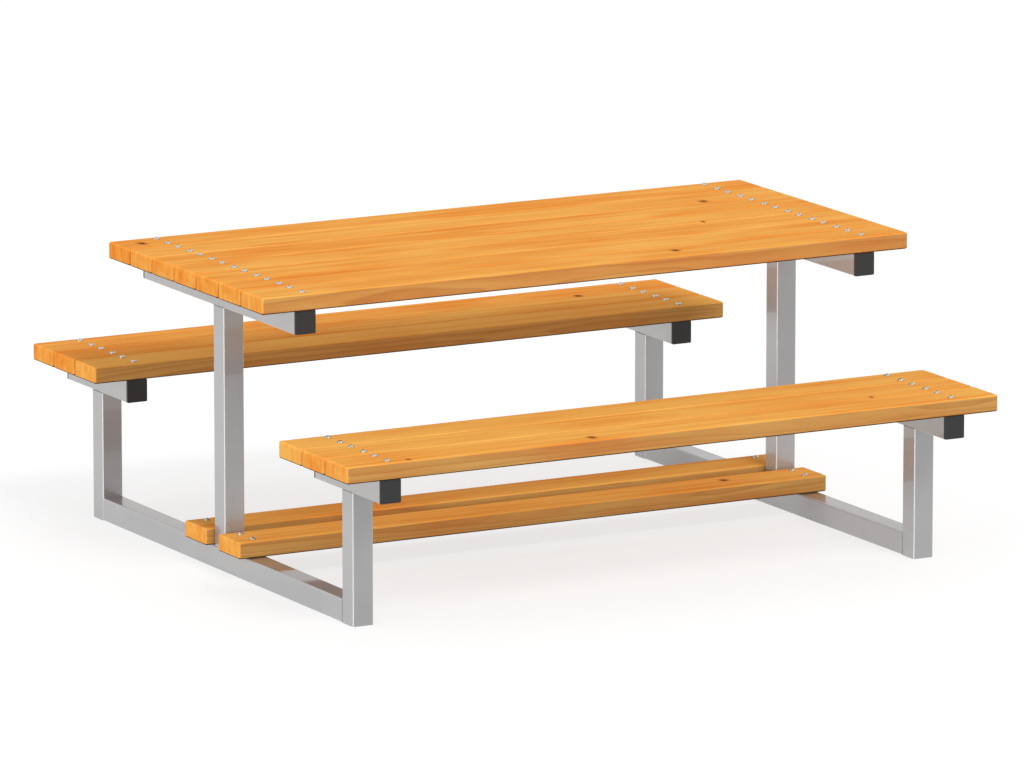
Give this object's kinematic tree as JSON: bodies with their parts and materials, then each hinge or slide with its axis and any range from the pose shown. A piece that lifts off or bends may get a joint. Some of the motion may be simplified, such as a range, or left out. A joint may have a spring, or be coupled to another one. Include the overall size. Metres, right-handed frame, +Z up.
{
  "type": "picnic table with benches",
  "caption": "Picnic table with fixed benches and a footrest: timber planks screwed to welded end frames of square steel tube with plastic end caps.",
  "frame": {"origin": "on the ground, below the middle of the table top", "axes": "+X along the planks, +Z up, -Y towards the front bench"},
  "size_m": [1.8, 1.709, 0.7651],
  "materials": {
    "stained_pine": "orange stained and varnished softwood, satin",
    "grey_paint": "light silver-grey powder coat, semi-gloss",
    "black_plastic": "moulded black polyethylene, fine texture",
    "stainless_steel": "stainless steel, as rolled",
    "zinc_plated_steel": "bright zinc plate"
  },
  "bodies": {
    "root": {"front_bench_plank_1": "stained_pine", "front_bench_plank_2": "stained_pine", "front_bench_plank_3": "stained_pine", "front_footrest_plank": "stained_pine", "left_floor_rail": "grey_paint", "left_footrest_rivet_nuts": "zinc_plated_steel", "left_footrest_screws": "stainless_steel", "left_front_bench_leg": "grey_paint", "left_front_bench_rail": "grey_paint", "left_front_bench_rail_front_cap": "black_plastic", "left_front_bench_rail_rear_cap": "black_plastic", "left_front_bench_rivet_nuts": "zinc_plated_steel", "left_front_bench_screws": "stainless_steel", "left_leg_base_plates": "grey_paint", "left_rear_bench_leg": "grey_paint", "left_rear_bench_rail": "grey_paint", "left_rear_bench_rail_front_cap": "black_plastic", "left_rear_bench_rail_rear_cap": "black_plastic", "left_rear_bench_rivet_nuts": "zinc_plated_steel", "left_rear_bench_screws": "stainless_steel", "left_table_post": "grey_paint", "left_table_rail": "grey_paint", "left_table_rail_front_cap": "black_plastic", "left_table_rail_rear_cap": "black_plastic", "left_table_rivet_nuts": "zinc_plated_steel", "left_table_screws": "stainless_steel", "rear_bench_plank_1": "stained_pine", "rear_bench_plank_2": "stained_pine", "rear_bench_plank_3": "stained_pine", "rear_footrest_plank": "stained_pine", "right_floor_rail": "grey_paint", "right_footrest_rivet_nuts": "zinc_plated_steel", "right_footrest_screws": "stainless_steel", "right_front_bench_leg": "grey_paint", "right_front_bench_rail": "grey_paint", "right_front_bench_rail_front_cap": "black_plastic", "right_front_bench_rail_rear_cap": "black_plastic", "right_front_bench_rivet_nuts": "zinc_plated_steel", "right_front_bench_screws": "stainless_steel", "right_leg_base_plates": "grey_paint", "right_rear_bench_leg": "grey_paint", "right_rear_bench_rail": "grey_paint", "right_rear_bench_rail_front_cap": "black_plastic", "right_rear_bench_rail_rear_cap": "black_plastic", "right_rear_bench_rivet_nuts": "zinc_plated_steel", "right_rear_bench_screws": "stainless_steel", "right_table_post": "grey_paint", "right_table_rail": "grey_paint", "right_table_rail_front_cap": "black_plastic", "right_table_rail_rear_cap": "black_plastic", "right_table_rivet_nuts": "zinc_plated_steel", "right_table_screws": "stainless_steel", "table_plank_1": "stained_pine", "table_plank_2": "stained_pine", "table_plank_3": "stained_pine", "table_plank_4": "stained_pine", "table_plank_5": "stained_pine", "table_plank_6": "stained_pine", "table_plank_7": "stained_pine"}
  },
  "joints": []
}
